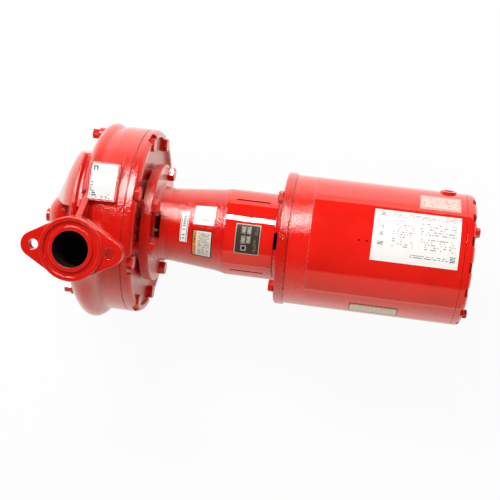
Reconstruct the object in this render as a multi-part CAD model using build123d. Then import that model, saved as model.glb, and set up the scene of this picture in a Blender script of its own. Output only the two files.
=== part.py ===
from build123d import *
import os
from math import cos, radians, sin

# Inline centrifugal pump, in mm, drawn as it hangs in an upright pipe.
# The pipe line is the Z axis and the lower flange face is Z = 0.
# The shaft lies level along X, with the motor towards +X.
# Angles about the shaft are counted from +Z towards +Y.

# Pipe line and shaft line
SPAN = 292.0
SHAFT_Y = 23.0
SHAFT_Z = SPAN / 2

# Clearances
SLIP = 0.15
SEAT_GAP = 0.05

# Pipe flanges
PORT_R = 19.0
LOWER_PORT_R = 19.6
RING_R = 33.4
RING_RISE = 3.0
RING_ROUND = 1.2
GROOVE_OUT_R = 29.0
GROOVE_IN_R = 23.2
GROOVE_DEPTH = 2.4
EAR_R = 13.4
EAR_PITCH = 80.2
EAR_HOLE_R = 5.6
LOWER_EAR_HOLE_R = 6.0
EAR_THICK = 12.5
EAR_ROUND = 1.0
NECK_R = 26.5
NECK_LENGTH = 22.0
WALL = 6.5

# Casing drum
DRUM_R = 105.0
DRUM_BACK_X = -10.0
DRUM_END_X = 41.2

# Scroll, growing from the small tube near the upper flange to the big one that turns into its neck
SCROLL_X = 1.0
SCROLL_START_DEG = 20.0
SCROLL_TURN_DEG = 290.0
SCROLL_STEPS = 12
SCROLL_START_HALF = 14.0
SCROLL_END_HALF = 19.0
SCROLL_DEEP_HALF = 30.0
SCROLL_OUT_START_R = 104.2
SCROLL_OUT_END_R = 117.3
BEND_REACH = 27.0
BEND_STEPS = 3

# Suction chamber, elbow and dome
CHAMBER_WALL = [(-57, 12), (-55, 25), (-47, 45), (-38, 65), (-32, 76), (-25, 84), (-18, 89), (-9, 90)]
CHAMBER_UPPER_Y = (15.0, 72.5)
CHAMBER_LOWER_Y = (-68.0, -30.0)
CHAMBER_BEHIND_Z = -8.0
THROAT_X = -14.0
THROAT_Y = -8.0
THROAT_Z = 46.0
THROAT_R = 36.0
ELBOW_MIDDLE = (-30, -12, -52)
ELBOW_MIDDLE_R = 30.0
ELBOW_LEAN = 25.0
DOME_R = 28.0
DOME_X = -38.0
DOME_Y = -3.0
DOME_Z = 10.0

# Thin ridge on the casing's back, and the web between pad and upper flange
RIDGE_X = -19.0
RIDGE_THICK = 3.5
RIDGE_R = 94.0
RIDGE_LOW_DEG = -8.0
RIDGE_HIGH_DEG = 50.0
WEB_X = -2.0
WEB_THICK = 6.0

# Vent plugs and suction plug
VENT_R = 8.0
VENT_X = -26.0
VENT_ROOT_X = 0.0
VENT_PLACES = ((92.3, -30.0), (-82.6, 30.0))
VENT_FLATS = 11.0
VENT_HEAD = 8.0
SUCTION_R = 7.8
SUCTION_X = -69.0
SUCTION_Y = -6.0
SUCTION_Z = 8.0

# Cast pad for the casing plate
PAD_X = 16.4
PAD_Y = 46.2
PAD_Z = 101.2
PAD_TILT = 14.4
PAD_WIDE = 33.0
PAD_HIGH = 42.0
PAD_DEEP = 30.0
PAD_PLATE_WIDE = 28.0
PAD_PLATE_HIGH = 38.0
PAD_PLATE_THICK = 0.6

# Cover plate
GASKET_THICK = 0.8
GASKET_SET_IN = 0.6
COVER_FACE_X = 48.7
COVER_LIP_X = 53.0
COVER_LIP_IN_R = 97.0
COVER_LIP_OUT_R = 102.5
COVER_EDGE = 2.5
COVER_BOLT_R = 95.5
COVER_SCREWS = 8
COVER_SCREW_DEG = 22.5
POCKET_R = 13.5
REST_BOSS_R = 6.5

# Screws
BIG_FLATS = 14.3
BIG_HEAD = 6.0
BIG_SHANK_R = 4.7
BIG_LENGTH = 18.0
SMALL_FLATS = 12.7
SMALL_HEAD = 5.4
SMALL_SHANK_R = 3.9
THREAD_HOLE = 12.5

# Bearing bracket
FLANGE_X = 52.4
FLANGE_END_X = 63.1
FLANGE_R = 67.0
BRACKET_BOLT_R = 60.0
BRACKET_SCREW_DEGS = (-112.5, -22.5, 22.5, 112.5)
BRACKET_SCREW_REACH = 6.5
BACK_ROOM_R = 36.0
BACK_ROOM_X = 80.0
NECK_START_X = 76.0
NECK_START_R = 41.5
NECK_END_X = 131.0
NECK_END_R = 46.5
CAGE_X = 141.0
CAGE_R = 48.6
CAGE_WALL = 5.0
CAGE_WINDOW_X = (149.0, 197.0)
CAGE_WINDOW_WIDE = 82.0
CAGE_WINDOW_DEEP = 40.0
CAGE_NOTCH_END_X = 202.5
CAGE_NOTCH_WIDE = 18.5
MOTOR_RING_X = 203.3
MOTOR_RING_R = 75.0
JOINT_X = 213.8
MOTOR_BOLT_R = 69.0
MOTOR_SCREW_DEG = 45.0
SLOT_X = 63.9
SLOT_WIDE = 5.6
SLOT_HALF = 13.5

# Rotating pieces inside the bracket
SHAFT_R = 8.0
HUB_R = 21.0
HUB_X = 150.0
HUB_END_X = 196.0
SHAFT_GRIP = 6.0

# Coupler guard
GUARD_IN_R = 48.7
GUARD_THICK = 0.8
GUARD_START_X = 143.0
GUARD_END_X = 197.6
GUARD_HALF_DEG = 74.0
GUARD_SLIT_DEG = 53.0
GUARD_SLIT_X = 170.0
GUARD_SLIT_LONG = 38.0
GUARD_SLIT_WIDE = 2.0

# Motor
BELL_R = 73.2
BELL_GROOVE = 1.2
BELL_GROOVE_WIDE = 1.6
SHELL_R = 73.3
SHELL_X = 237.3
SHELL_GAP = 0.4
SHELL_END_X = 400.8
REAR_EDGE_X = 406.5
REAR_X = 411.5
REAR_FACE_R = 68.5
VENT_SLOTS = 16
VENT_SLOT_WIDE = 11.0
VENT_SLOT_DEEP = 12.0
VENT_SLOT_HIGH = 4.5
THROUGH_BOLT_R = 65.5
THROUGH_BOLT_DEG = 33.75
THROUGH_FLATS = 9.5
THROUGH_HEAD = 4.0
THROUGH_LENGTH = 10.0
WIRING_X = 381.5
WIRING_DEG = 84.0
WIRING_R = 9.0
WIRING_RISE = 2.0
WIRING_HOLE_R = 5.5
WIRING_DEPTH = 8.0
DRAIN_XS = (289.6, 298.1)
DRAIN_DEG = 12.0
DRAIN_R = 1.1
DRAIN_DEPTH = 4.0

# Plates and stickers
STICKER_THICK = 0.25
GUARD_PLATE_THICK = 0.5
MOTOR_PLATE_THICK = 0.4

BOTTOM_UP = (Align.CENTER, Align.CENTER, Align.MIN)
TOP_DOWN = (Align.CENTER, Align.CENTER, Align.MAX)
PARTS = {}


def keep(name, shape):
    """Files one piece under its node name, moved from the shaft frame to the part's frame."""
    PARTS[name] = Pos(0, SHAFT_Y, SHAFT_Z) * shape


def turned(points):
    """Solid of revolution about the shaft from (x, radius) corners."""
    return revolve(make_face(Polyline(*points, close=True)), Axis.X, 360)


def patch(points, low_deg, high_deg):
    """Part turn of a profile about the shaft, between two angles."""
    face = make_face(Polyline(*points, close=True))
    return Rot(90 - high_deg, 0, 0) * revolve(face, Axis.X, high_deg - low_deg)


def seat(x, radius, deg):
    """Plane square to the shaft, its origin at a radius and an angle about the shaft."""
    across = (0, sin(radians(deg)), cos(radians(deg)))
    return Plane(origin=(x, radius * across[1], radius * across[2]), x_dir=across, z_dir=(1, 0, 0))


def radial(x, radius, deg):
    """Plane touching a cylinder about the shaft, facing away from the shaft."""
    outward = (0, sin(radians(deg)), cos(radians(deg)))
    return Plane(origin=(x, radius * outward[1], radius * outward[2]), x_dir=(1, 0, 0), z_dir=outward)


def rod(x0, x1, radius, y=0.0, z=0.0):
    """Round bar along the shaft direction."""
    return Plane(origin=(x0, y, z), x_dir=(0, 1, 0), z_dir=(1, 0, 0)) * Cylinder(
        radius, x1 - x0, align=BOTTOM_UP
    )


def ring_of(shape, count, first_deg, x, radius):
    """The same shape set at even steps round the shaft."""
    return [seat(x, radius, first_deg + 360 / count * k) * shape for k in range(count)]


def screw_hole(shank_r, depth):
    """Clearance hole through z = 0, reaching the same depth both ways."""
    return Cylinder(shank_r + SLIP, 2 * depth)


def hex_screw(flats, head, shank_r, length):
    """Hexagon cap screw standing on z = 0, its head upwards and its shank downwards."""
    block = extrude(RegularPolygon(flats / 2, 6, major_radius=False), head)
    slope = head * 1.6
    crown = Cone(flats / 2 + slope, flats / 2 - 0.3, slope + 0.3, align=TOP_DOWN)
    return (block & Pos(0, 0, head) * crown) + Cylinder(shank_r, length, align=TOP_DOWN)


def flange_plate():
    """Two-bolt oval plate with the raised gasket ring in its middle, its face on z = 0."""
    ears = [Pos(s * EAR_PITCH / 2, 0) * Circle(EAR_R) for s in (-1, 1)]
    outline = make_hull((Circle(RING_R) + ears).edges())
    plate = Pos(0, 0, -RING_RISE - EAR_THICK) * extrude(outline, EAR_THICK)
    plate = fillet(plate.edges().group_by(Axis.Z)[-1], EAR_ROUND)
    ring = Cylinder(RING_R, RING_RISE + EAR_THICK, align=TOP_DOWN)
    return plate + fillet(ring.edges().group_by(Axis.Z)[-1], RING_ROUND)


def flange_cuts(port_r, hole_r):
    """Gasket groove, straight port mouth and ear holes of one flange."""
    groove = Cylinder(GROOVE_OUT_R, GROOVE_DEPTH, align=TOP_DOWN)
    groove -= Cylinder(GROOVE_IN_R, GROOVE_DEPTH, align=TOP_DOWN)
    port = Cylinder(port_r, NECK_LENGTH, align=TOP_DOWN)
    hole = Cylinder(hole_r, 2 * (RING_RISE + EAR_THICK + 1))
    return [groove, port] + [Pos(s * EAR_PITCH / 2, 0) * hole for s in (-1, 1)]


def flange_frame(side):
    """Plane on the upper (side 1) or lower (side -1) flange face, looking out of the pump."""
    return Plane(origin=(0, -SHAFT_Y, side * SHAFT_Z), x_dir=(1, 0, 0), z_dir=(0, 0, side))


def neck_end(side, radius):
    """Round section where a flange's straight neck ends, its seam turned to the side where an oval has it."""
    return flange_frame(side) * Pos(0, 0, -NECK_LENGTH) * Rot(0, 0, 90) * Circle(radius)


def scroll_plane(part):
    """Plane across the scroll at a part of its way round the shaft."""
    deg = SCROLL_START_DEG + part * SCROLL_TURN_DEG
    middle = SCROLL_OUT_START_R + (SCROLL_OUT_END_R - SCROLL_OUT_START_R) * part - SCROLL_DEEP_HALF
    outward = (0, sin(radians(deg)), cos(radians(deg)))
    ahead = (0, cos(radians(deg)), -sin(radians(deg)))
    return Plane(origin=(SCROLL_X, middle * outward[1], middle * outward[2]), x_dir=(1, 0, 0), z_dir=ahead)


def scroll_section(part, wall=0.0):
    """Oval section of the scroll, less its wall."""
    half = SCROLL_START_HALF + (SCROLL_END_HALF - SCROLL_START_HALF) * part
    return scroll_plane(part) * Ellipse(half - wall, SCROLL_DEEP_HALF - wall)


def bend_section(part, wall=0.0):
    """Oval section of the bend from the scroll's end up to the upper flange's neck, less its wall."""
    start = scroll_plane(1)
    stop = flange_frame(1).offset(-NECK_LENGTH)
    line = Bezier(
        start.origin, start.origin + start.z_dir * BEND_REACH, stop.origin - stop.z_dir * BEND_REACH, stop.origin
    )
    half = SCROLL_END_HALF + (NECK_R - SCROLL_END_HALF) * part
    deep = SCROLL_DEEP_HALF + (NECK_R - SCROLL_DEEP_HALF) * part
    return Plane(origin=line @ part, x_dir=(1, 0, 0), z_dir=line % part) * Ellipse(half - wall, deep - wall)


def scroll(wall=0.0):
    """Scroll that grows round the drum and bends up into the upper flange's neck, less its wall."""
    sections = [scroll_section(step / SCROLL_STEPS, wall) for step in range(SCROLL_STEPS + 1)]
    sections += [bend_section(step / BEND_STEPS, wall) for step in range(1, BEND_STEPS)]
    return loft(sections + [neck_end(1, PORT_R if wall else NECK_R)])


def discharge_passage():
    """Last quarter of the scroll's inside, open to the upper port and closed level with the shaft."""
    return scroll(WALL) & Box(SPAN, SPAN, SPAN, align=(Align.CENTER, Align.MAX, Align.MIN))


def suction_elbow(wall=0.0):
    """Bend from the lower flange's neck to the dome in front of the impeller's eye, less its wall."""
    middle = Plane(origin=ELBOW_MIDDLE, x_dir=(cos(radians(ELBOW_LEAN)), 0, sin(radians(ELBOW_LEAN))),
                   z_dir=(sin(radians(ELBOW_LEAN)), 0, -cos(radians(ELBOW_LEAN))))
    top = Plane(origin=(DOME_X, DOME_Y, DOME_Z), x_dir=(1, 0, 0), z_dir=(0, 0, -1))
    return loft([
        top * Circle(DOME_R - 1 - wall), middle * Circle(ELBOW_MIDDLE_R - wall),
        neck_end(-1, LOWER_PORT_R if wall else NECK_R),
    ])


def chamber():
    """Suction chamber: a cone-like wall about the shaft, cut off flat above and below and set back at the throat."""
    wall = Spline(*CHAMBER_WALL)
    inner_x, outer_x = CHAMBER_WALL[-1][0], CHAMBER_WALL[0][0]
    profile = make_face([wall, Polyline(wall @ 1, (inner_x, 0), (outer_x, 0), wall @ 0)])
    cone = revolve(profile, Axis.X, 360)
    low, high = CHAMBER_LOWER_Y[0], CHAMBER_UPPER_Y[1]
    keeps = Pos(0, (low + high) / 2, CHAMBER_BEHIND_Z) * Box(2 * DRUM_R, high - low, 2 * DRUM_R, align=TOP_DOWN)
    for y0, y1 in (CHAMBER_LOWER_Y, CHAMBER_UPPER_Y):
        keeps += Pos(0, (y0 + y1) / 2, 0) * Box(2 * DRUM_R, y1 - y0, 2 * DRUM_R)
    return cone & keeps


def throat():
    """Swelling wall between the dome and the drum's back."""
    small = Plane(origin=(DOME_X, DOME_Y, DOME_Z), x_dir=(0, 1, 0), z_dir=(1, 0, 0)) * Circle(DOME_R - 0.4)
    large = Plane(origin=(THROAT_X, THROAT_Y, THROAT_Z), x_dir=(0, 1, 0), z_dir=(1, 0, 0)) * Circle(THROAT_R)
    return loft([small, large])


def pad_frame():
    """Plane of the casing pad's top, tilted from the pipe direction."""
    tilt = radians(PAD_TILT)
    return Plane(origin=(PAD_X, PAD_Y, PAD_Z), x_dir=(1, 0, 0), z_dir=(0, sin(tilt), cos(tilt)))


def casing_pad():
    """Raised flat pad on the drum that carries the casing plate."""
    pad = Box(PAD_WIDE, PAD_HIGH, PAD_DEEP, align=TOP_DOWN)
    return pad_frame() * fillet(pad.edges().filter_by(Axis.Z), 2.0)


def flange_web():
    """Triangular web that stiffens the upper flange against the drum."""
    corner = [(-12, 132), (8, 132), (38, 92), (38, 60), (-12, 60)]
    side = Plane(origin=(WEB_X, 0, 0), x_dir=(0, 1, 0), z_dir=(1, 0, 0))
    return extrude(side * make_face(Polyline(*corner, close=True)), WEB_THICK)


def casing():
    """Volute casing: drum, growing scroll, suction chamber, dome, necks and flanges."""
    body = turned([
        (DRUM_BACK_X, 0), (DRUM_BACK_X, 88), (-4, 97), (8, 103.4), (18, DRUM_R),
        (DRUM_END_X, DRUM_R), (DRUM_END_X, 0),
    ])
    for shape in (scroll(), chamber(), suction_elbow(), throat(), Pos(DOME_X, DOME_Y, DOME_Z) * Sphere(DOME_R)):
        body += shape
    body += patch([
        (RIDGE_X, 0.5 * RIDGE_R), (RIDGE_X, RIDGE_R - 1), (RIDGE_X + 1, RIDGE_R),
        (RIDGE_X + RIDGE_THICK, RIDGE_R), (DRUM_BACK_X + 1, RIDGE_R - 12), (DRUM_BACK_X + 1, 0.5 * RIDGE_R),
    ], RIDGE_LOW_DEG, RIDGE_HIGH_DEG)
    body += flange_web()
    for side in (-1, 1):
        neck = Cylinder(NECK_R, NECK_LENGTH - 8, align=TOP_DOWN)
        body += flange_frame(side) * (flange_plate() + Pos(0, 0, -8) * neck)
    for y, z in VENT_PLACES:
        body += rod(VENT_X, VENT_ROOT_X, VENT_R, y, z)
    body += casing_pad()
    for side, port_r, hole_r in ((-1, LOWER_PORT_R, LOWER_EAR_HOLE_R), (1, PORT_R, EAR_HOLE_R)):
        body -= [flange_frame(side) * cut for cut in flange_cuts(port_r, hole_r)]
    body -= discharge_passage()
    body -= suction_elbow(WALL)
    body -= ring_of(screw_hole(BIG_SHANK_R, THREAD_HOLE), COVER_SCREWS, COVER_SCREW_DEG, DRUM_END_X, COVER_BOLT_R)
    return body


def gasket():
    """Thin gasket between casing and cover."""
    body = rod(DRUM_END_X, DRUM_END_X + GASKET_THICK, DRUM_R - GASKET_SET_IN)
    holes = ring_of(screw_hole(BIG_SHANK_R, THREAD_HOLE), COVER_SCREWS, COVER_SCREW_DEG, DRUM_END_X, COVER_BOLT_R)
    return body - holes


def cover():
    """Cover plate with its raised lips, open pockets at the screws and rest bosses for the bracket."""
    start = DRUM_END_X + GASKET_THICK
    plate = turned([
        (start, 0), (start, DRUM_R), (COVER_FACE_X, DRUM_R), (COVER_FACE_X + 1.8, DRUM_R - 0.7),
        (COVER_LIP_X - 0.6, COVER_LIP_OUT_R + 0.4), (COVER_LIP_X, COVER_LIP_OUT_R - 0.6),
        (COVER_LIP_X, COVER_LIP_IN_R + 0.6), (COVER_LIP_X - 0.8, COVER_LIP_IN_R),
        (COVER_FACE_X, COVER_LIP_IN_R - 1), (COVER_FACE_X, 0),
    ])
    boss = Cylinder(REST_BOSS_R, FLANGE_X - COVER_FACE_X, align=BOTTOM_UP)
    plate += ring_of(boss, COVER_SCREWS, COVER_SCREW_DEG, COVER_FACE_X, BRACKET_BOLT_R)
    pocket = Cylinder(POCKET_R, 2 * (COVER_LIP_X - COVER_FACE_X), align=BOTTOM_UP)
    plate -= ring_of(pocket, COVER_SCREWS, COVER_SCREW_DEG, COVER_FACE_X, COVER_BOLT_R)
    plate -= ring_of(screw_hole(BIG_SHANK_R, 20), COVER_SCREWS, COVER_SCREW_DEG, COVER_FACE_X, COVER_BOLT_R)
    for deg in BRACKET_SCREW_DEGS:
        plate -= seat(COVER_FACE_X, BRACKET_BOLT_R, deg) * screw_hole(BIG_SHANK_R, BRACKET_SCREW_REACH - 1)
    return plate - rod(start - 1, FLANGE_X, SHAFT_R + 4)


def bracket():
    """Bearing bracket: round flange, neck, open coupler cage and the ring that carries the motor."""
    outer = turned([
        (FLANGE_X, 0), (FLANGE_X, FLANGE_R), (FLANGE_END_X - 0.8, FLANGE_R), (FLANGE_END_X, FLANGE_R - 0.8),
        (FLANGE_END_X, 47), (FLANGE_END_X + 2.5, 43), (NECK_START_X, NECK_START_R),
        (NECK_END_X, NECK_END_R), (CAGE_X - 3, CAGE_R - 0.8), (CAGE_X, CAGE_R),
        (MOTOR_RING_X - 5, CAGE_R), (MOTOR_RING_X - 2, 51), (MOTOR_RING_X, 57),
        (MOTOR_RING_X, MOTOR_RING_R - 2), (MOTOR_RING_X + 0.7, MOTOR_RING_R - 0.6),
        (MOTOR_RING_X + 2, MOTOR_RING_R), (JOINT_X, MOTOR_RING_R), (JOINT_X, 0),
    ])
    hollow = turned([
        (FLANGE_X, 0), (FLANGE_X, BACK_ROOM_R), (BACK_ROOM_X, BACK_ROOM_R), (BACK_ROOM_X + 4, SHAFT_R + 2),
        (CAGE_X - 7, SHAFT_R + 2), (CAGE_X - 3, CAGE_R - CAGE_WALL), (JOINT_X, CAGE_R - CAGE_WALL), (JOINT_X, 0),
    ])
    body = outer - hollow
    slot = Box(2 * SLOT_HALF, SLOT_WIDE, 30)
    start, end = CAGE_WINDOW_X
    window = Box(CAGE_WINDOW_WIDE, end - start, CAGE_WINDOW_DEEP)
    notch = Box(CAGE_NOTCH_WIDE, CAGE_NOTCH_END_X - start, 30)
    for deg in (0, 180):
        body -= radial(SLOT_X + SLOT_WIDE / 2, CAGE_R - 8, deg) * Rot(0, 0, 90) * slot
        body -= radial((start + end) / 2, CAGE_R - 4, deg) * Rot(0, 0, 90) * window
        body -= radial((start + CAGE_NOTCH_END_X) / 2, CAGE_R - 4, deg) * Rot(0, 0, 90) * notch
    for deg in BRACKET_SCREW_DEGS:
        body -= seat(FLANGE_END_X, BRACKET_BOLT_R, deg) * screw_hole(BIG_SHANK_R, 30)
    body -= ring_of(screw_hole(SMALL_SHANK_R, 30), 4, MOTOR_SCREW_DEG, JOINT_X, MOTOR_BOLT_R)
    return body


def guard(middle):
    """Bent sheet guard over one side opening of the coupler cage, with its two long slits."""
    outer_r = GUARD_IN_R + GUARD_THICK
    body = patch([
        (GUARD_START_X, GUARD_IN_R), (GUARD_END_X, GUARD_IN_R),
        (GUARD_END_X, outer_r), (GUARD_START_X, outer_r),
    ], middle - GUARD_HALF_DEG, middle + GUARD_HALF_DEG)
    slit = Box(GUARD_SLIT_LONG, GUARD_SLIT_WIDE, 12)
    for s in (-1, 1):
        body -= radial(GUARD_SLIT_X, outer_r, middle + s * GUARD_SLIT_DEG) * slit
    return body


def front_bell():
    """Front end bell of the motor, with the shallow groove at the bracket's ring."""
    body = turned([
        (JOINT_X, 0), (JOINT_X, BELL_R - BELL_GROOVE), (JOINT_X + BELL_GROOVE_WIDE, BELL_R - BELL_GROOVE),
        (JOINT_X + BELL_GROOVE_WIDE, BELL_R), (SHELL_X, BELL_R), (SHELL_X, 0),
    ])
    return body - ring_of(screw_hole(SMALL_SHANK_R, 10), 4, MOTOR_SCREW_DEG, JOINT_X, MOTOR_BOLT_R)


def rear_bell():
    """Rear end bell with its rounded rim and the ring of vent slots in its edge."""
    body = turned([
        (SHELL_END_X + SHELL_GAP, 0), (SHELL_END_X + SHELL_GAP, SHELL_R), (REAR_EDGE_X, SHELL_R),
        (REAR_EDGE_X + 2.5, SHELL_R - 0.8), (REAR_X - 0.8, SHELL_R - 2.6), (REAR_X, REAR_FACE_R), (REAR_X, 0),
    ])
    slot = Box(2 * VENT_SLOT_DEEP, VENT_SLOT_WIDE, 2 * VENT_SLOT_HIGH)
    body -= ring_of(slot, VENT_SLOTS, 0, REAR_X, SHELL_R)
    return body - ring_of(screw_hole(SMALL_SHANK_R, THROUGH_LENGTH + 3), 4, THROUGH_BOLT_DEG, REAR_X, THROUGH_BOLT_R)


def motor_shell():
    """Rolled steel shell of the motor with the wiring hole boss on it."""
    body = turned([
        (SHELL_X + SHELL_GAP, 0), (SHELL_X + SHELL_GAP, SHELL_R), (SHELL_END_X, SHELL_R), (SHELL_END_X, 0),
    ])
    place = radial(WIRING_X, SHELL_R, WIRING_DEG)
    body += place * Pos(0, 0, -WIRING_RISE) * Cylinder(WIRING_R, 2 * WIRING_RISE, align=BOTTOM_UP)
    body -= place * Pos(0, 0, -WIRING_DEPTH) * Cylinder(WIRING_HOLE_R, 3 * WIRING_DEPTH, align=BOTTOM_UP)
    return body - [radial(x, SHELL_R, DRAIN_DEG) * Cylinder(DRAIN_R, 2 * DRAIN_DEPTH) for x in DRAIN_XS]


def curved_plate(x0, x1, low_deg, high_deg, radius, thick):
    """Thin plate bent round the shaft line, a hair off the face that it is stuck to."""
    low, high = radius + SEAT_GAP, radius + SEAT_GAP + thick
    return patch([(x0, low), (x1, low), (x1, high), (x0, high)], low_deg, high_deg)


def neck_sticker(x0, x1, low_deg, high_deg):
    """Thin sticker lying on the tapered neck."""
    slope = (NECK_END_R - NECK_START_R) / (NECK_END_X - NECK_START_X)
    a = NECK_START_R + slope * (x0 - NECK_START_X) + SEAT_GAP
    b = NECK_START_R + slope * (x1 - NECK_START_X) + SEAT_GAP
    return patch([(x0, a), (x1, b), (x1, b + STICKER_THICK), (x0, a + STICKER_THICK)], low_deg, high_deg)


def vent_plug(y, z):
    """Hexagon plug in the end of a vent boss."""
    head = extrude(RegularPolygon(VENT_FLATS / 2, 6, major_radius=False), VENT_HEAD)
    return Pos(VENT_X, y, z) * Rot(0, -90, 0) * head


keep("volute_casing", casing())
keep("casing_gasket", gasket())
keep("cover_plate", cover())
cover_screw = hex_screw(BIG_FLATS, BIG_HEAD, BIG_SHANK_R, BIG_LENGTH)
for k, shape in enumerate(ring_of(cover_screw, COVER_SCREWS, COVER_SCREW_DEG, COVER_FACE_X, COVER_BOLT_R)):
    keep(f"cover_screw_{k + 1}", shape)

keep("bearing_bracket", bracket())
bracket_screw = hex_screw(BIG_FLATS, BIG_HEAD, BIG_SHANK_R, FLANGE_END_X - FLANGE_X + BRACKET_SCREW_REACH)
for k, deg in enumerate(BRACKET_SCREW_DEGS):
    keep(f"bracket_screw_{k + 1}", seat(FLANGE_END_X, BRACKET_BOLT_R, deg) * bracket_screw)
motor_screw = Rot(180, 0, 0) * hex_screw(SMALL_FLATS, SMALL_HEAD, SMALL_SHANK_R, JOINT_X - MOTOR_RING_X + 8)
for k, shape in enumerate(ring_of(motor_screw, 4, MOTOR_SCREW_DEG, MOTOR_RING_X, MOTOR_BOLT_R)):
    keep(f"motor_screw_{k + 1}", shape)

keep("pump_shaft", rod(COVER_FACE_X - 4, HUB_X + SHAFT_GRIP, SHAFT_R))
bores = rod(HUB_X - 1, HUB_X + SHAFT_GRIP + SLIP, SHAFT_R + SLIP)
bores += rod(HUB_END_X - SHAFT_GRIP, HUB_END_X + 1, SHAFT_R + SLIP)
keep("coupler", rod(HUB_X, HUB_END_X, HUB_R) - bores)
keep("motor_shaft", rod(HUB_END_X - SHAFT_GRIP + SLIP, JOINT_X, SHAFT_R))
keep("guard_upper", guard(0))
keep("guard_lower", guard(180))

keep("motor_front_bell", front_bell())
keep("motor_shell", motor_shell())
keep("motor_rear_bell", rear_bell())
through_bolt = hex_screw(THROUGH_FLATS, THROUGH_HEAD, SMALL_SHANK_R, THROUGH_LENGTH)
for k, shape in enumerate(ring_of(through_bolt, 4, THROUGH_BOLT_DEG, REAR_X, THROUGH_BOLT_R)):
    keep(f"through_bolt_{k + 1}", shape)

keep("vent_plug_upper", vent_plug(*VENT_PLACES[0]))
keep("vent_plug_lower", vent_plug(*VENT_PLACES[1]))
dome = Pos(DOME_X, DOME_Y, DOME_Z) * Sphere(DOME_R)
keep("suction_plug", rod(SUCTION_X, DOME_X - DOME_R + 4, SUCTION_R, SUCTION_Y, SUCTION_Z) - dome - suction_elbow())
plate = Box(PAD_PLATE_WIDE, PAD_PLATE_HIGH, PAD_PLATE_THICK, align=BOTTOM_UP)
keep("casing_plate", pad_frame() * plate)
keep("guard_plate", curved_plate(155.5, 183, -21.5, 17.5, GUARD_IN_R + GUARD_THICK, GUARD_PLATE_THICK))
keep("motor_plate", curved_plate(303, 395, -3, 42, SHELL_R, MOTOR_PLATE_THICK))
keep("shell_sticker_upper", curved_plate(350, 394, 48, 68, SHELL_R, STICKER_THICK))
keep("shell_sticker_lower", curved_plate(288, 341, -66, -51, SHELL_R, STICKER_THICK))
keep("neck_sticker_1", neck_sticker(93, 101.5, -18, 27))
keep("neck_sticker_2", neck_sticker(107, 130.5, 10, 38))
keep("neck_sticker_3", neck_sticker(107, 130, -38, 3))

os.makedirs("parts", exist_ok=True)
for name, shape in PARTS.items():
    export_step(shape, f"parts/{name}.step")
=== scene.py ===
import bpy
from mathutils import Matrix, Vector

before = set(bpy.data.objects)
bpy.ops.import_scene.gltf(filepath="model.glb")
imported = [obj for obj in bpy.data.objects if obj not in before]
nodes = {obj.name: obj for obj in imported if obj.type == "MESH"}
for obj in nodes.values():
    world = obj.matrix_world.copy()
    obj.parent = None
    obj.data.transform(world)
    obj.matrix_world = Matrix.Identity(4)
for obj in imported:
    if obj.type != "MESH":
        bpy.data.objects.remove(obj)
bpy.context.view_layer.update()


# Table, backdrop, lamp and camera.
# The pump is seen almost straight along its pipe, over a white seamless paper sheet. One long softbox
# draws the bright band along the machine, and a pale room fills the rest.

def add(tree, kind, inputs=None, **settings):
    """One shader node: settings are its properties, and inputs its sockets' values or links."""
    node = tree.nodes.new(kind)
    for name, value in settings.items():
        setattr(node, name, value)
    for name, value in (inputs or {}).items():
        socket = node.inputs[name]
        if isinstance(value, bpy.types.NodeSocket):
            tree.links.new(value, socket)
        else:
            socket.default_value = value
    return node


def times(tree, a, b):
    """Product of two values."""
    return add(tree, "ShaderNodeMath", {0: a, 1: b}, operation="MULTIPLY").outputs[0]


def between(tree, share, under, over):
    """Value between two others, by a share or a mask."""
    return add(tree, "ShaderNodeMix", {0: share, 2: under, 3: over}, data_type="FLOAT").outputs[0]


def stained(tree, share, under, over):
    """Colour over another, by a share or a mask."""
    return add(tree, "ShaderNodeMix", {0: share, 6: under, 7: over}, data_type="RGBA").outputs[2]


def blank_material(name):
    """A material with an empty node tree, and its output node."""
    material = bpy.data.materials.new(name)
    material.use_nodes = True
    material.node_tree.nodes.clear()
    return material, material.node_tree, add(material.node_tree, "ShaderNodeOutputMaterial")


plain_white = (1, 1, 1, 1)
warm_white = (1.0, 0.86, 0.72, 1)
paper_grey = (0.86, 0.86, 0.86, 1)
lift_for_camera = 0.93
lift_in_gloss = 0.40


def paper_sheet():
    """White paper: a matt surface that keeps the shadow, lifted to white where it is looked at and less
    in gloss. The camera sees through it from below, so that the pump's underside can be looked at."""
    material, tree, output = blank_material("white_paper")
    path = add(tree, "ShaderNodeLightPath")
    looked_at, in_gloss = path.outputs["Is Camera Ray"], path.outputs["Is Glossy Ray"]
    matt = add(tree, "ShaderNodeBsdfDiffuse", {"Color": paper_grey})
    tint = stained(tree, in_gloss, plain_white, warm_white)
    glow = add(tree, "ShaderNodeEmission", {"Color": tint, "Strength": 1.0})
    direct = times(tree, looked_at, lift_for_camera)
    lift = add(tree, "ShaderNodeMath", {0: in_gloss, 1: lift_in_gloss, 2: direct}, operation="MULTIPLY_ADD")
    lifted = add(tree, "ShaderNodeMixShader", {0: lift.outputs[0], 1: matt.outputs[0], 2: glow.outputs[0]})
    behind = add(tree, "ShaderNodeNewGeometry").outputs["Backfacing"]
    clear = add(tree, "ShaderNodeBsdfTransparent")
    whole = add(tree, "ShaderNodeMixShader", {0: times(tree, looked_at, behind), 1: lifted.outputs[0],
                                              2: clear.outputs[0]})
    tree.links.new(whole.outputs[0], output.inputs["Surface"])
    return material


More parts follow.
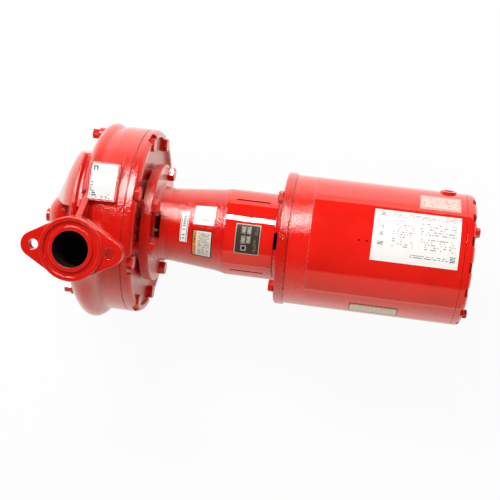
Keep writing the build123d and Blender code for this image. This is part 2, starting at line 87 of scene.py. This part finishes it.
sheet_half = 6.0
sheet_drop = 0.0004
sheet_mesh = bpy.data.meshes.new("table_sheet")
sheet_mesh.from_pydata(
    [(-sheet_half, -sheet_half, -sheet_drop), (sheet_half, -sheet_half, -sheet_drop),
     (sheet_half, sheet_half, -sheet_drop), (-sheet_half, sheet_half, -sheet_drop)],
    [], [(0, 1, 2, 3)],
)
sheet_mesh.materials.append(paper_sheet())
sheet = bpy.data.objects.new("table_sheet", sheet_mesh)
bpy.context.scene.collection.objects.link(sheet)

# The room is pale for matt surfaces. Gloss sees it dark, with a card towards the near side and a bright
# wall below the horizon, each fading over a short way of the direction looked in.
pale_fill = 0.64
dark_room = 0.03
near_card = 0.42
near_card_edge = -0.69
near_card_fade = 0.06
low_wall = 1.0
low_wall_edge = 0.05
low_wall_fade = 0.02

world = bpy.data.worlds.new("pale_room")
bpy.context.scene.world = world
world.use_nodes = True
room = world.node_tree
room.nodes.clear()
way = add(room, "ShaderNodeSeparateXYZ", {0: add(room, "ShaderNodeTexCoord").outputs["Generated"]})
card_light = add(room, "ShaderNodeMapRange", {
    "Value": way.outputs["Y"], "From Min": near_card_edge - near_card_fade, "From Max": near_card_edge,
    "To Min": near_card, "To Max": dark_room,
})
wall_light = add(room, "ShaderNodeMapRange", {
    "Value": way.outputs["Z"], "From Min": low_wall_edge, "From Max": low_wall_edge + low_wall_fade,
    "To Min": low_wall, "To Max": dark_room,
})
gloss_light = add(room, "ShaderNodeMath", {0: card_light.outputs[0], 1: wall_light.outputs[0]},
                  operation="MAXIMUM")
ray = add(room, "ShaderNodeLightPath")
room_level = between(room, ray.outputs["Is Glossy Ray"], pale_fill, gloss_light.outputs[0])
room_light = add(room, "ShaderNodeBackground", {
    "Color": stained(room, ray.outputs["Is Glossy Ray"], plain_white, warm_white),
    "Strength": between(room, ray.outputs["Is Camera Ray"], room_level, 1.0),
})
room_output = add(room, "ShaderNodeOutputWorld")
room.links.new(room_light.outputs[0], room_output.inputs["Surface"])

shaft_y = 0.023
shaft_z = 0.146
softbox_x = -0.170
softbox_place = Vector((softbox_x, 0.95, 1.15))
softbox_target = Vector((softbox_x, shaft_y, shaft_z))

lamp = bpy.data.lights.new("long_softbox", "AREA")
lamp.shape = "RECTANGLE"
lamp.size = 0.66
lamp.size_y = 0.29
lamp.energy = 16
softbox = bpy.data.objects.new("long_softbox", lamp)
bpy.context.scene.collection.objects.link(softbox)
softbox.location = softbox_place
softbox.rotation_euler = (softbox_target - softbox_place).to_track_quat("-Z", "Y").to_euler()

# The camera's place, and the directions of its right, its top and its back.
view_place = Vector((0.27760, 0.14057, 1.25799))
view_right = (0.98755780, 0.11192587, -0.11046350)
view_up = (-0.12394570, 0.98631531, -0.10871781)
view_back = (0.09678351, 0.12105660, 0.98791612)

camera_data = bpy.data.cameras.new("view")
camera_data.lens = 70.687
camera_data.sensor_width = 36.0
camera = bpy.data.objects.new("view", camera_data)
bpy.context.scene.collection.objects.link(camera)
view_turn = Matrix((view_right, view_up, view_back)).transposed().to_4x4()
camera.matrix_world = Matrix.Translation(view_place) @ view_turn
bpy.context.scene.camera = camera
bpy.context.scene.view_settings.view_transform = "Standard"


# Volute casing.
# One grey iron casting with its drum, scroll, suction dome and pipe flanges. It is painted thick gloss
# red over a rough sand skin, and the ports are bare dark iron inside.

def new_group(name, inputs, outputs):
    """An empty shader node group with named sockets, and its two end nodes."""
    group = bpy.data.node_groups.new(name, "ShaderNodeTree")
    for socket_name, kind in inputs:
        group.interface.new_socket(socket_name, in_out="INPUT", socket_type=kind)
    for socket_name, kind in outputs:
        group.interface.new_socket(socket_name, in_out="OUTPUT", socket_type=kind)
    return group, group.nodes.new("NodeGroupInput"), group.nodes.new("NodeGroupOutput")


clouds_per_metre = 22.0
grains_per_lump = 3.1


def sand_skin():
    """Group: the lumps of a sand casting under thick paint, coarse swells with fine grain on them, and
    the slow drift of the paint's tone."""
    group, start, end = new_group(
        "sand_skin",
        [("Place", "NodeSocketVector"), ("Lumps per metre", "NodeSocketFloat"),
         ("Grain share", "NodeSocketFloat")],
        [("Height", "NodeSocketFloat"), ("Tone", "NodeSocketFloat")],
    )
    place, lumps = start.outputs["Place"], start.outputs["Lumps per metre"]
    grains = times(group, lumps, grains_per_lump)
    swell = add(group, "ShaderNodeTexNoise", {"Vector": place, "Scale": lumps, "Detail": 2.0,
                                              "Roughness": 0.45})
    grain = add(group, "ShaderNodeTexNoise", {"Vector": place, "Scale": grains, "Detail": 2.0})
    height = add(group, "ShaderNodeMath", {0: grain.outputs["Fac"], 1: start.outputs["Grain share"],
                                           2: swell.outputs["Fac"]}, operation="MULTIPLY_ADD")
    cloud = add(group, "ShaderNodeTexNoise", {"Vector": place, "Scale": clouds_per_metre, "Detail": 3.0})
    tone = add(group, "ShaderNodeMapRange", {"Value": cloud.outputs["Fac"], "From Min": 0.3,
                                             "From Max": 0.7})
    group.links.new(height.outputs[0], end.inputs["Height"])
    group.links.new(tone.outputs[0], end.inputs["Tone"])
    return group


flat_cosine = 0.995
sharp_cosine = 0.86
flakes_per_metre = 160.0


def worn_and_highlit_edges():
    """Group: where thick paint rounds at an edge, from how far the rounded normal turns, and flecks on
    the edge that are partly worn paint and partly a painted edge highlight.
    """
    group, start, end = new_group(
        "worn_and_highlit_edges",
        [("Place", "NodeSocketVector"), ("Radius", "NodeSocketFloat"), ("Wear and highlight level", "NodeSocketFloat")],
        [("Rounded", "NodeSocketVector"), ("Wear and highlight", "NodeSocketFloat")],
    )
    rounded = add(group, "ShaderNodeBevel", {"Radius": start.outputs["Radius"]}, samples=4)
    plain = add(group, "ShaderNodeNewGeometry")
    turn = add(group, "ShaderNodeVectorMath", {0: rounded.outputs[0], 1: plain.outputs["Normal"]},
               operation="DOT_PRODUCT")
    edge = add(group, "ShaderNodeMapRange", {"Value": turn.outputs["Value"], "From Min": flat_cosine,
                                             "From Max": sharp_cosine, "To Min": 0.0, "To Max": 1.0})
    flakes = add(group, "ShaderNodeTexNoise", {"Vector": start.outputs["Place"], "Scale": flakes_per_metre,
                                               "Detail": 4.0, "Roughness": 0.7})
    edge_flecks = times(group, flakes.outputs["Fac"], edge.outputs[0])
    # Flecks on the edge: partly worn paint, partly a painted edge highlight.
    wear_and_highlight = add(group, "ShaderNodeMath", {0: edge_flecks, 1: start.outputs["Wear and highlight level"]}, operation="GREATER_THAN")
    group.links.new(rounded.outputs[0], end.inputs["Rounded"])
    group.links.new(wear_and_highlight.outputs[0], end.inputs["Wear and highlight"])
    return group


sand_skin_group = sand_skin()
worn_and_highlit_edges_group = worn_and_highlit_edges()
casting_reds = ((0.70, 0.009, 0.0045, 1), (0.58, 0.006, 0.003, 1))
# Pale pink of the edge flecks: partly worn paint, partly a painted edge highlight.
worn_and_highlit_pink = (0.80, 0.42, 0.36, 1)
bare_iron = (0.014, 0.006, 0.004, 1)
bare_roughness = 0.55
warm_gloss = (1.0, 0.84, 0.70, 1)
smoothest_paint = 0.85
roughest_paint = 1.3


def painted(name, reds, lumps, depth, grain_share, edge_radius, wear_and_highlight_level, roughness, bare=None):
    """Gloss red paint. Its tone drifts between two reds and its height follows the metal's skin, which
    has a number of lumps per metre and a depth in metres. bare is a function of the tree and the place
    that gives a mask of the faces that were never painted."""
    material, tree, output = blank_material(name)
    place = add(tree, "ShaderNodeTexCoord").outputs["Object"]
    skin = add(tree, "ShaderNodeGroup", node_tree=sand_skin_group)
    tree.links.new(place, skin.inputs["Place"])
    skin.inputs["Lumps per metre"].default_value = lumps
    skin.inputs["Grain share"].default_value = grain_share
    edges = add(tree, "ShaderNodeGroup", node_tree=worn_and_highlit_edges_group)
    tree.links.new(place, edges.inputs["Place"])
    edges.inputs["Radius"].default_value = edge_radius
    edges.inputs["Wear and highlight level"].default_value = wear_and_highlight_level
    red = stained(tree, skin.outputs["Tone"], reds[0], reds[1])
    # Pale pink flecks on edges: worn paint and a painted edge highlight.
    base = stained(tree, edges.outputs["Wear and highlight"], red, worn_and_highlit_pink)
    rough = add(tree, "ShaderNodeMapRange", {
        "Value": skin.outputs["Tone"], "To Min": roughness * smoothest_paint,
        "To Max": roughness * roughest_paint,
    }).outputs[0]
    relief = add(tree, "ShaderNodeBump", {
        "Height": skin.outputs["Height"], "Strength": 1.0, "Distance": depth,
        "Normal": edges.outputs["Rounded"],
    }).outputs[0]
    if bare is not None:
        mask = bare(tree, place)
        base = stained(tree, mask, base, bare_iron)
        rough = between(tree, mask, rough, bare_roughness)
    paint = add(tree, "ShaderNodeBsdfPrincipled", {
        "Base Color": base, "Roughness": rough, "IOR": 1.6, "Specular Tint": warm_gloss, "Normal": relief,
        "Coat Weight": 0.85, "Coat Roughness": 0.03, "Coat IOR": 1.75, "Coat Normal": relief,
    })
    tree.links.new(paint.outputs[0], output.inputs["Surface"])
    return material


def line_reach():
    """Group: distance of a place from the straight line between two points."""
    group, start, end = new_group(
        "line_reach",
        [("Place", "NodeSocketVector"), ("From", "NodeSocketVector"), ("To", "NodeSocketVector")],
        [("Reach", "NodeSocketFloat")],
    )
    line = add(group, "ShaderNodeVectorMath", {0: start.outputs["To"], 1: start.outputs["From"]},
               operation="SUBTRACT").outputs[0]
    out = add(group, "ShaderNodeVectorMath", {0: start.outputs["Place"], 1: start.outputs["From"]},
              operation="SUBTRACT").outputs[0]
    along = add(group, "ShaderNodeVectorMath", {0: out, 1: line}, operation="DOT_PRODUCT")
    square = add(group, "ShaderNodeVectorMath", {0: line, 1: line}, operation="DOT_PRODUCT")
    share = add(group, "ShaderNodeMath", {0: along.outputs["Value"], 1: square.outputs["Value"]},
                operation="DIVIDE", use_clamp=True)
    foot = add(group, "ShaderNodeVectorMath", {0: line, "Scale": share.outputs[0]}, operation="SCALE")
    reach = add(group, "ShaderNodeVectorMath", {0: out, 1: foot.outputs[0]}, operation="DISTANCE")
    group.links.new(reach.outputs["Value"], end.inputs["Reach"])
    return group


line_reach_group = line_reach()

# Middle lines of the two ports, mouth first, in metres: start, stop, stretch along the shaft and reach.
port_lines = [
    ((0, 0, 0.400), (0, 0, 0.266), 1.0, 0.0193),
    ((0, 0, 0.268), (0, -0.0125, 0.237), 1.2, 0.025),
    ((0, -0.0125, 0.237), (0, -0.044, 0.202), 1.45, 0.025),
    ((0, -0.044, 0.202), (0, -0.062, 0.146), 1.6, 0.025),
    ((0, 0, -0.100), (0, 0, 0.024), 1.0, 0.0199),
    ((0, 0, 0.024), (-0.010, 0.0035, 0.056), 1.0, 0.0213),
    ((-0.010, 0.0035, 0.056), (-0.030, 0.011, 0.094), 1.0, 0.0228),
    ((-0.030, 0.011, 0.094), (-0.038, 0.020, 0.156), 1.0, 0.0245),
]


def inside_ports(tree, place):
    """Mask of the bare port walls: near the middle line of a port's mouth or of the passage behind it.
    The upper passage is narrower along the shaft, so there the place is first stretched that way."""
    mask = None
    for start, stop, stretch, limit in port_lines:
        spot = add(tree, "ShaderNodeVectorMath", {0: place, 1: (stretch, 1.0, 1.0)}, operation="MULTIPLY")
        line = add(tree, "ShaderNodeGroup", node_tree=line_reach_group)
        tree.links.new(spot.outputs[0], line.inputs["Place"])
        line.inputs["From"].default_value = (start[0] * stretch, start[1], start[2])
        line.inputs["To"].default_value = (stop[0] * stretch, stop[1], stop[2])
        near = add(tree, "ShaderNodeMath", {0: line.outputs[0], 1: limit}, operation="LESS_THAN")
        if mask is None:
            mask = near.outputs[0]
        else:
            mask = add(tree, "ShaderNodeMath", {0: mask, 1: near.outputs[0]}, operation="MAXIMUM").outputs[0]
    return mask


def dress(material, *names):
    """Gives CAD nodes one material, in place of what their slots held."""
    for name in names:
        mesh = nodes[name].data
        mesh.materials.clear()
        mesh.materials.append(material)


casing_paint = painted("casing_paint", casting_reds, lumps=480.0, depth=0.00050, grain_share=0.40,
                       edge_radius=0.0016, wear_and_highlight_level=0.62, roughness=0.06, bare=inside_ports)
dress(casing_paint, "volute_casing")
plug_paint = painted("plug_paint", casting_reds, lumps=700.0, depth=0.0001, grain_share=0.2,
                     edge_radius=0.0006, wear_and_highlight_level=0.6, roughness=0.18)
dress(plug_paint, "vent_plug_upper", "vent_plug_lower", "suction_plug")


# Cover plate and its gasket.
# The iron cover closes the drum's open side over a thin dark fibre gasket. Eight hexagon screws
# hold it, painted over together with the casing.

cover_paint = painted("cover_paint", casting_reds, lumps=480.0, depth=0.00040, grain_share=0.40,
                      edge_radius=0.0012, wear_and_highlight_level=0.6, roughness=0.06)
dress(cover_paint, "cover_plate")
fibre_brown = (0.16, 0.012, 0.010, 1)
spilled_red = (0.30, 0.012, 0.010, 1)
fibres_per_metre = 900.0
fibre_depth = 0.0001


def fibre_edge():
    """Pressed fibre sheet, dark and matt, with paint spilled on its edge."""
    material, tree, output = blank_material("gasket_fibre")
    place = add(tree, "ShaderNodeTexCoord").outputs["Object"]
    fibres = add(tree, "ShaderNodeTexNoise", {"Vector": place, "Scale": fibres_per_metre, "Detail": 3.0})
    colour = stained(tree, fibres.outputs["Fac"], fibre_brown, spilled_red)
    relief = add(tree, "ShaderNodeBump", {"Height": fibres.outputs["Fac"], "Distance": fibre_depth})
    shade = add(tree, "ShaderNodeBsdfPrincipled", {"Base Color": colour, "Roughness": 0.55,
                                                   "Normal": relief.outputs[0]})
    tree.links.new(shade.outputs[0], output.inputs["Surface"])
    return material


dress(fibre_edge(), "casing_gasket")


# Hexagon screws.
# Steel hexagon screws and the motor's through bolts, driven home before painting, so the heads carry
# the same red. Brush and wrench have left the corners thin, and the pale flecks there are partly that
# wear and partly a painted highlight.

screw_paint = painted("screw_paint", casting_reds, lumps=480.0, depth=0.00014, grain_share=0.2,
                      edge_radius=0.0007, wear_and_highlight_level=0.52, roughness=0.26)
dress(screw_paint, *[name for name in nodes if "_screw_" in name or "_bolt_" in name])


# Bearing bracket.
# A second iron casting: round flange, tapered neck and the open coupler cage, ending in the ring
# that carries the motor. It has the casing's rough skin and the same thick red.

bracket_paint = painted("bracket_paint", casting_reds, lumps=480.0, depth=0.00050, grain_share=0.40,
                        edge_radius=0.0014, wear_and_highlight_level=0.6, roughness=0.05)
dress(bracket_paint, "bearing_bracket")


# Shafts and coupler.
# Turned steel shafts and a dark iron barrel that joins them, left unpainted. They are seen only
# through the gap beside the guard.

steel_tones = ((0.42, 0.41, 0.40, 1), (0.62, 0.61, 0.60, 1))
dark_iron_tones = ((0.045, 0.042, 0.04, 1), (0.09, 0.085, 0.08, 1))
rings_per_metre = 2600.0
ring_depth = 0.00004


def turned_metal(name, tones, roughness):
    """Turned metal: fine rings round the shaft line in height and tone."""
    material, tree, output = blank_material(name)
    place = add(tree, "ShaderNodeTexCoord").outputs["Object"]
    along = add(tree, "ShaderNodeSeparateXYZ", {0: place}).outputs["X"]
    rings = add(tree, "ShaderNodeTexNoise", {"W": along, "Scale": rings_per_metre, "Detail": 2.0},
                noise_dimensions="1D")
    colour = stained(tree, rings.outputs["Fac"], tones[0], tones[1])
    relief = add(tree, "ShaderNodeBump", {"Height": rings.outputs["Fac"], "Distance": ring_depth})
    shade = add(tree, "ShaderNodeBsdfPrincipled", {"Base Color": colour, "Metallic": 1.0,
                                                   "Roughness": roughness, "Normal": relief.outputs[0]})
    tree.links.new(shade.outputs[0], output.inputs["Surface"])
    return material


dress(turned_metal("turned_steel", steel_tones, roughness=0.3), "pump_shaft", "motor_shaft")
dress(turned_metal("coupler_iron", dark_iron_tones, roughness=0.5), "coupler")


# Coupler guard.
# Two bent steel sheets spring over the cage's openings. The sheet is smooth, so its thick red gloss
# shows the softbox with sharp edges.

sheet_reds = ((0.85, 0.014, 0.0075, 1), (0.74, 0.010, 0.0055, 1))
guard_paint = painted("guard_paint", sheet_reds, lumps=60.0, depth=0.00025, grain_share=0.02,
                      edge_radius=0.0004, wear_and_highlight_level=0.9, roughness=0.04)
dress(guard_paint, "guard_upper", "guard_lower")


# Motor.
# Cast end bells and a rolled steel shell between them. The shell's gloss is nearly flat, while the
# front bell shows the rough skin of its casting through the paint.

bell_paint = painted("bell_paint", sheet_reds, lumps=500.0, depth=0.00042, grain_share=0.40,
                     edge_radius=0.0003, wear_and_highlight_level=0.9, roughness=0.05)
dress(bell_paint, "motor_front_bell")
rear_paint = painted("rear_paint", sheet_reds, lumps=160.0, depth=0.00025, grain_share=0.1,
                     edge_radius=0.0010, wear_and_highlight_level=0.9, roughness=0.07)
dress(rear_paint, "motor_rear_bell")
shell_paint = painted("shell_paint", sheet_reds, lumps=45.0, depth=0.00025, grain_share=0.02,
                      edge_radius=0.0001, wear_and_highlight_level=0.95, roughness=0.04)
dress(shell_paint, "motor_shell")


# Casing plate.
# A thin bright aluminium plate glued on the casing's tilted pad, with a corner mark, two ragged
# columns and a few rows of print. As on every plate here, the print is short dashes that say nothing.

def band(tree, value, low, high):
    """1 where a value lies between two limits."""
    above = add(tree, "ShaderNodeMath", {0: value, 1: low}, operation="GREATER_THAN")
    below = add(tree, "ShaderNodeMath", {0: value, 1: high}, operation="LESS_THAN")
    return times(tree, above.outputs[0], below.outputs[0])


line_height = 0.52


def dashes(tree, along, across, pitch, word, filled):
    """Rows of short dashes: a row's lower part is cut into words, and a cell noise picks the full ones."""
    row = add(tree, "ShaderNodeMath", {0: across, 1: pitch}, operation="DIVIDE")
    height = add(tree, "ShaderNodeMath", {0: row.outputs[0]}, operation="FRACT")
    line = add(tree, "ShaderNodeMath", {0: height.outputs[0], 1: line_height}, operation="LESS_THAN")
    number = add(tree, "ShaderNodeMath", {0: row.outputs[0]}, operation="FLOOR")
    column = add(tree, "ShaderNodeMath", {0: along, 1: word}, operation="DIVIDE")
    cell = add(tree, "ShaderNodeMath", {0: column.outputs[0]}, operation="FLOOR")
    spot = add(tree, "ShaderNodeCombineXYZ", {0: cell.outputs[0], 1: number.outputs[0]})
    chance = add(tree, "ShaderNodeTexWhiteNoise", {"Vector": spot.outputs[0]}, noise_dimensions="2D")
    shown = add(tree, "ShaderNodeMath", {0: chance.outputs["Value"], 1: filled}, operation="LESS_THAN")
    return times(tree, line.outputs[0], shown.outputs[0])


def block(left, right, low, high, ink):
    """Mark on a sheet: a full rectangle of one ink, in mm."""
    return left, right, low, high, ink, None


def rows(left, right, low, high, ink, pitch, word, filled):
    """Mark on a sheet: a rectangle of dashes in mm, with the rows' pitch, a word's length and how many of
    the words are full."""
    return left, right, low, high, ink, (pitch, word, filled)


dirt_tone = 0.7
most_dirt = 0.18
dirt_per_metre = 90.0
ripple_depth = 0.0002
smoothest_print = 0.8
roughest_print = 1.3


def printed(name, paper, sheet_of, marks, roughness, metallic=0.0):
    """Printed sheet, a little clouded with dirt. sheet_of is a function of the tree and the place that
    gives the place on the flat sheet in mm, and each mark covers the ones before it."""
    material, tree, output = blank_material(name)
    place = add(tree, "ShaderNodeTexCoord").outputs["Object"]
    sheet_place = add(tree, "ShaderNodeSeparateXYZ", {0: sheet_of(tree, place)})
    along, across = sheet_place.outputs["X"], sheet_place.outputs["Y"]
    cloud = add(tree, "ShaderNodeTexNoise", {"Vector": place, "Scale": dirt_per_metre, "Detail": 4.0})
    dirt = add(tree, "ShaderNodeMapRange", {"Value": cloud.outputs["Fac"], "From Min": 0.35,
                                            "From Max": 0.75, "To Min": 0.0, "To Max": most_dirt})
    dirty_paper = (*[dirt_tone * part for part in paper[:3]], 1)
    colour = stained(tree, dirt.outputs[0], paper, dirty_paper)
    for left, right, low, high, ink, words in marks:
        mask = times(tree, band(tree, along, left, right), band(tree, across, low, high))
        if words:
            mask = times(tree, mask, dashes(tree, along, across, *words))
        colour = stained(tree, mask, colour, ink)
    rough = add(tree, "ShaderNodeMapRange", {
        "Value": cloud.outputs["Fac"], "To Min": roughness * smoothest_print,
        "To Max": roughness * roughest_print,
    })
    relief = add(tree, "ShaderNodeBump", {"Height": cloud.outputs["Fac"], "Distance": ripple_depth})
    shade = add(tree, "ShaderNodeBsdfPrincipled", {
        "Base Color": colour, "Roughness": rough.outputs[0], "Metallic": metallic,
        "Normal": relief.outputs[0], "Coat Weight": 0.3, "Coat Roughness": 0.1,
    })
    tree.links.new(shade.outputs[0], output.inputs["Surface"])
    return material


mm_per_metre = 1000.0
pad_middle_x = 0.0164
pad_middle_y = 0.0692
pad_stretch = 1.03


def on_pad(tree, place):
    """Place on the casing's pad in mm from its middle, stretched across because the pad is tilted."""
    from_middle = add(tree, "ShaderNodeVectorMath", {0: place, 1: (pad_middle_x, pad_middle_y, 0.0)},
                      operation="SUBTRACT")
    scaled = add(tree, "ShaderNodeVectorMath", {
        0: from_middle.outputs[0], 1: (mm_per_metre, mm_per_metre * pad_stretch, mm_per_metre),
    }, operation="MULTIPLY")
    return scaled.outputs[0]


bright_plate = (0.92, 0.92, 0.90, 1)
grey_ink = (0.16, 0.15, 0.14, 1)
black_ink = (0.02, 0.02, 0.02, 1)
fine_print = {"pitch": 1.5, "word": 0.9, "filled": 0.62}

dress(printed("casing_plate_print", bright_plate, on_pad, [
    block(-12, -7.4, 11.6, 16.5, black_ink),
    block(-10.8, -8.6, 11.0, 15.3, bright_plate),
    rows(-13, -10.6, -17, 0, black_ink, pitch=1.7, word=1.1, filled=0.62),
    rows(-10.4, -5.6, -17, -10, black_ink, pitch=2.2, word=1.7, filled=0.6),
    rows(-5, 9, -17.5, -15, black_ink, pitch=1.6, word=1.5, filled=0.5),
    rows(6, 9, -14, -10, grey_ink, **fine_print),
], roughness=0.22, metallic=0.35), "casing_plate")


# Neck stickers.
# Three paper stickers pressed on the bracket's neck: a narrow one with a line along each edge, a plain
# white one, and a cream one in a dark frame with an orange stripe.

def round_the_shaft():
    """Group: place on a sheet wrapped round the shaft, in mm along it and round it from the top."""
    group, start, end = new_group(
        "round_the_shaft",
        [("Place", "NodeSocketVector"), ("Radius mm", "NodeSocketFloat")],
        [("Sheet", "NodeSocketVector")],
    )
    offset = add(group, "ShaderNodeVectorMath", {0: start.outputs["Place"], 1: (0.0, shaft_y, shaft_z)},
                 operation="SUBTRACT")
    parts = add(group, "ShaderNodeSeparateXYZ", {0: offset.outputs[0]})
    angle = add(group, "ShaderNodeMath", {0: parts.outputs["Y"], 1: parts.outputs["Z"]},
                operation="ARCTAN2")
    around = times(group, angle.outputs[0], start.outputs["Radius mm"])
    along = times(group, parts.outputs["X"], mm_per_metre)
    sheet_place = add(group, "ShaderNodeCombineXYZ", {0: along, 1: around})
    group.links.new(sheet_place.outputs[0], end.inputs["Sheet"])
    return group


round_group = round_the_shaft()


def wrapped(radius):
    """Function that gives the place on a sheet at this radius about the shaft, in mm."""
    def sheet_of(tree, place):
        node = add(tree, "ShaderNodeGroup", node_tree=round_group)
        tree.links.new(place, node.inputs["Place"])
        node.inputs["Radius mm"].default_value = radius
        return node.outputs["Sheet"]
    return sheet_of


def framed(left, right, low, high, rim, ink, paper):
    """Marks of a frame: a block of ink, and the paper laid over all but its rim."""
    return [block(left, right, low, high, ink),
            block(left + rim, right - rim, low + rim, high - rim, paper)]


paper_white = (0.86, 0.85, 0.82, 1)
paper_cream = (0.74, 0.68, 0.56, 1)
orange_stripe = (0.85, 0.23, 0.03, 1)
faded_ink = (0.50, 0.50, 0.48, 1)
narrow_sticker_radius = 43.4
neck_radius = 45.4

dress(printed("neck_sticker_1_print", paper_white, wrapped(narrow_sticker_radius), [
    block(93.8, 94.4, -13, 19.6, black_ink),
    block(100.1, 100.7, -13, 19.6, black_ink),
    rows(96.0, 98.6, -10, 17, black_ink, pitch=2.0, word=3.4, filled=0.75),
], roughness=0.35), "neck_sticker_1")
dress(printed("neck_sticker_2_print", paper_white, wrapped(neck_radius), [
    rows(112, 124, 12, 23, faded_ink, pitch=3.2, word=1.3, filled=0.6),
], roughness=0.35), "neck_sticker_2")
dress(printed("neck_sticker_3_print", paper_cream, wrapped(neck_radius), [
    *framed(107, 130, -30.2, 2.4, rim=1.3, ink=black_ink, paper=paper_cream),
    block(108.3, 112.0, -28.9, 1.1, orange_stripe),
    rows(109.0, 111.3, -28, 0, black_ink, pitch=3.2, word=1.3, filled=0.45),
    rows(114, 127, -27, -1, grey_ink, **fine_print),
], roughness=0.35), "neck_sticker_3")


# Guard plate.
# A dark etched metal plate on the upper guard, with a silver rim, four pale blocks, a small square
# frame and fine print.

plate_brown = (0.085, 0.060, 0.042, 1)
silver_print = (0.60, 0.55, 0.48, 1)
dull_silver = (0.30, 0.27, 0.23, 1)
fine_silver = (0.36, 0.32, 0.27, 1)
guard_plate_radius = 49.8
pale_block_lefts = (162.5, 168.5)
pale_block_rows = ((4.6, 12), (-5.6, 2))
pale_block_length = 4.0

dress(printed("guard_plate_print", plate_brown, wrapped(guard_plate_radius), [
    *framed(155.5, 183, -18.7, 15.2, rim=0.9, ink=silver_print, paper=plate_brown),
    *[block(left, left + pale_block_length, low, high, silver_print)
      for low, high in pale_block_rows for left in pale_block_lefts],
    *framed(162.5, 168.5, -14.5, -8.5, rim=1.2, ink=silver_print, paper=black_ink),
    rows(161.5, 173, -7, 13, dull_silver, pitch=2.4, word=1.2, filled=0.5),
    rows(176, 179.5, -15, 0, fine_silver, **fine_print),
    rows(177, 180, 4, 12, fine_silver, **fine_print),
], roughness=0.28, metallic=0.4), "guard_plate")


# Motor plate and shell stickers.
# A large white nameplate foil with red rubbed on its edges, a pink oversprayed sticker beside it, and
# a cream sticker with an orange stripe low on the shell.

foil_white = (0.88, 0.86, 0.82, 1)
pale_ink = (0.42, 0.38, 0.34, 1)
pink_rub = (0.86, 0.40, 0.40, 1)
oversprayed_rose = (0.74, 0.36, 0.29, 1)
oversprayed_pale = (0.80, 0.56, 0.49, 1)
red_specks = (0.70, 0.22, 0.17, 1)
shell_radius = 73.5

dress(printed("motor_plate_print", foil_white, wrapped(shell_radius), [
    rows(322, 390, 46.5, 51, pale_ink, pitch=1.6, word=1.4, filled=0.55),
    rows(352, 391, 29, 42, pale_ink, pitch=2.9, word=1.3, filled=0.42),
    rows(352, 391, 12, 25, pale_ink, pitch=2.6, word=1.5, filled=0.34),
    rows(324, 346, 13, 38, pale_ink, pitch=2.6, word=1.5, filled=0.38),
    rows(310, 315, 46, 51, grey_ink, pitch=1.3, word=1.1, filled=0.6),
    rows(309.5, 314.5, 31, 35, grey_ink, pitch=1.6, word=1.2, filled=0.55),
    rows(310, 314, 23.5, 27.5, grey_ink, pitch=1.4, word=1.0, filled=0.8),
    rows(309, 315, 13, 18, black_ink, pitch=1.5, word=1.2, filled=0.7),
    rows(386, 392, 2, 9, black_ink, pitch=1.6, word=1.1, filled=0.62),
    rows(344, 384, 3.6, 6.4, grey_ink, pitch=2.9, word=1.9, filled=0.72),
    rows(303, 305, -3.9, 6, pink_rub, pitch=1.2, word=1.1, filled=0.6),
    rows(305, 309, -3.9, 0, pink_rub, pitch=1.2, word=1.1, filled=0.55),
    rows(376, 395, 50, 54, pink_rub, pitch=1.1, word=1.6, filled=0.5),
    rows(303, 304, 6, 48, pink_rub, pitch=2.3, word=0.8, filled=0.35),
], roughness=0.3), "motor_plate")
dress(printed("shell_sticker_upper_print", oversprayed_rose, wrapped(shell_radius), [
    block(351.5, 392.5, 65, 84, oversprayed_pale),
    rows(352, 392, 66, 83, red_specks, pitch=2.6, word=1.9, filled=0.22),
    block(368, 381, 62.4, 64, pale_ink),
], roughness=0.3), "shell_sticker_upper")
dress(printed("shell_sticker_lower_print", paper_cream, wrapped(shell_radius), [
    *framed(288, 341, -84.8, -65.3, rim=1.0, ink=black_ink, paper=paper_cream),
    block(289, 340, -69.3, -66.3, orange_stripe),
    rows(291, 338, -83, -70.5, pale_ink, pitch=1.9, word=1.3, filled=0.6),
], roughness=0.35), "shell_sticker_lower")
